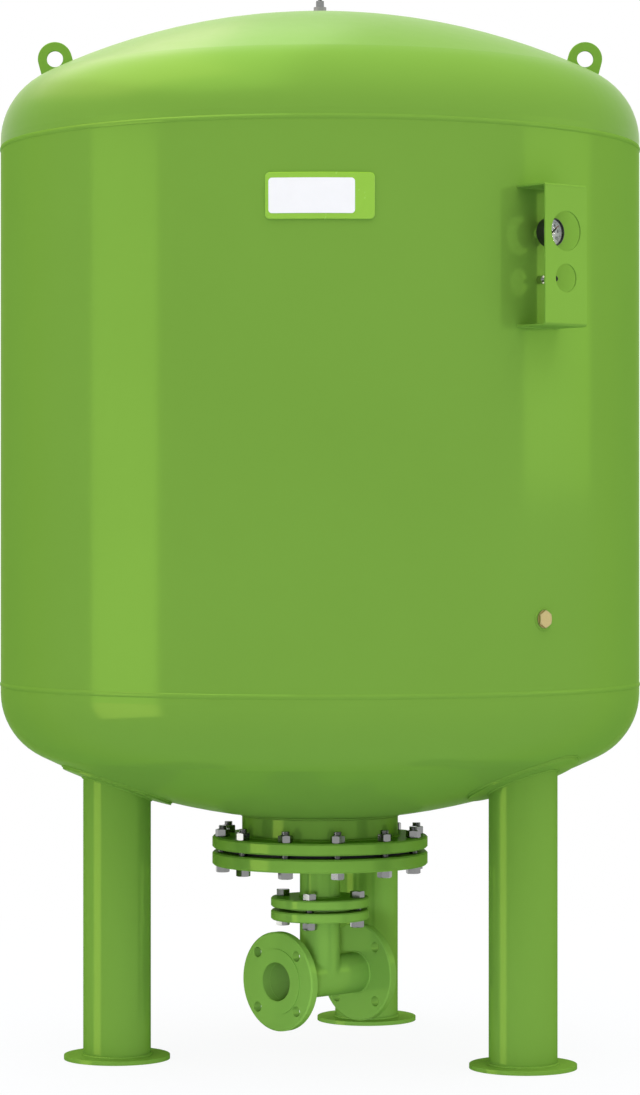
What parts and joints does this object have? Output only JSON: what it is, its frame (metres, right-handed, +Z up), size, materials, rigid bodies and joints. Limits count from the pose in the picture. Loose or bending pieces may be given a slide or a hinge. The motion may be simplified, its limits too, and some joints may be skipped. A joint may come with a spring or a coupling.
{
  "type": "expansion vessel",
  "caption": "Floor-standing bladder expansion vessel on tubular legs, with a flanged pipe tee below, lifting lugs, and a pressure gauge and charging valve behind a bracket.",
  "frame": {"origin": "on the vessel axis at floor level", "axes": "+Z up along the vessel axis; -Y is the front, with the name plate; +X is to the right seen from the front"},
  "size_m": [1.203, 1.2063, 1.9788],
  "materials": {
    "green_paint": "gloss yellow-green stove enamel",
    "plate_green": "bright green moulded plate",
    "panel_white": "white gloss film",
    "zinc_steel": "zinc-plated fastener steel",
    "plain_steel": "plain turned steel",
    "bladder_rubber": "matt butyl rubber",
    "gasket_fibre": "dark fibre-rubber sheet",
    "case_black": "black moulded case",
    "dial_white": "white enamelled dial",
    "pointer_black": "black painted pointer",
    "marker_red": "red set marker",
    "window_clear": "clear moulded window",
    "movement_brass": "turned brass",
    "valve_nickel": "nickel-plated brass",
    "spring_steel": "bright spring wire",
    "cap_black": "black moulded cap",
    "plug_brass": "plain brass"
  },
  "bodies": {
    "vessel": {"bladder": "bladder_rubber", "bourdon_tube": "movement_brass", "cover_flange": "green_paint", "foot_plate_left": "green_paint", "foot_plate_rear": "green_paint", "foot_plate_right": "green_paint", "gauge_bracket": "green_paint", "gauge_case": "case_black", "gauge_dial": "dial_white", "gauge_socket": "green_paint", "gauge_stem": "movement_brass", "gauge_window": "window_clear", "girth_welds": "green_paint", "hanger_disc": "plain_steel", "hanger_stud": "plain_steel", "hanger_washer": "plain_steel", "leg_left": "green_paint", "leg_pad_left": "green_paint", "leg_pad_rear": "green_paint", "leg_pad_right": "green_paint", "leg_rear": "green_paint", "leg_right": "green_paint", "lifting_lug_left": "green_paint", "lifting_lug_right": "green_paint", "lower_head": "green_paint", "main_flange_bolts": "zinc_steel", "main_flange_nuts": "zinc_steel", "movement_plate": "movement_brass", "name_panel": "panel_white", "name_plate": "plate_green", "neck": "green_paint", "outlet_bolts": "zinc_steel", "outlet_flange": "green_paint", "outlet_gasket": "gasket_fibre", "outlet_nuts": "zinc_steel", "outlet_pipe": "green_paint", "plug_seal": "gasket_fibre", "rupture_plug": "plug_brass", "rupture_socket": "green_paint", "shell": "green_paint", "tee_body": "green_paint", "tee_front_flange": "green_paint", "tee_rear_flange": "green_paint", "tee_top_flange": "green_paint", "top_boss": "plain_steel", "top_nut": "zinc_steel", "upper_head": "green_paint", "valve_body": "valve_nickel", "vessel_flange": "green_paint"},
    "pointer": {"gauge_pointer": "pointer_black"},
    "set_marker": {"gauge_marker": "marker_red"},
    "sector": {"movement_sector": "movement_brass"},
    "valve_cap": {"valve_cap": "cap_black"},
    "valve_core": {"valve_pin": "valve_nickel", "valve_spring": "spring_steel"}
  },
  "joints": [
    {"name": "gauge_pointer_turn", "type": "hinge", "parent": "vessel", "child": "pointer", "pos_m": [0.40631, -0.48422, 1.49732], "axis": [-0.6428, 0.766, 0], "range_deg": [-184, 86], "stiffness_Nm_per_rad": 0.0002},
    {"name": "gauge_sector_swing", "type": "hinge", "parent": "vessel", "child": "sector", "pos_m": [0.40033, -0.47709, 1.51042], "axis": [-0.6428, 0.766, 0], "range_deg": [-9.7, 20.6]},
    {"name": "set_marker_turn", "type": "hinge", "parent": "vessel", "child": "set_marker", "pos_m": [0.40631, -0.48422, 1.49732], "axis": [-0.6428, 0.766, 0], "range_deg": [-184, 86]},
    {"name": "valve_cap_off", "type": "slide", "parent": "vessel", "child": "valve_cap", "axis": [0.6428, -0.766, 0], "range_m": [0, 0.02]},
    {"name": "valve_pin_press", "type": "slide", "parent": "vessel", "child": "valve_core", "axis": [-0.6428, 0.766, 0], "range_m": [0, 0.0015], "stiffness_N_per_m": 300, "springref_m": -0.0005}
  ],
  "couplings": [
    {"joint": "gauge_sector_swing", "follows": "gauge_pointer_turn", "ratio": -0.11111}
  ]
}
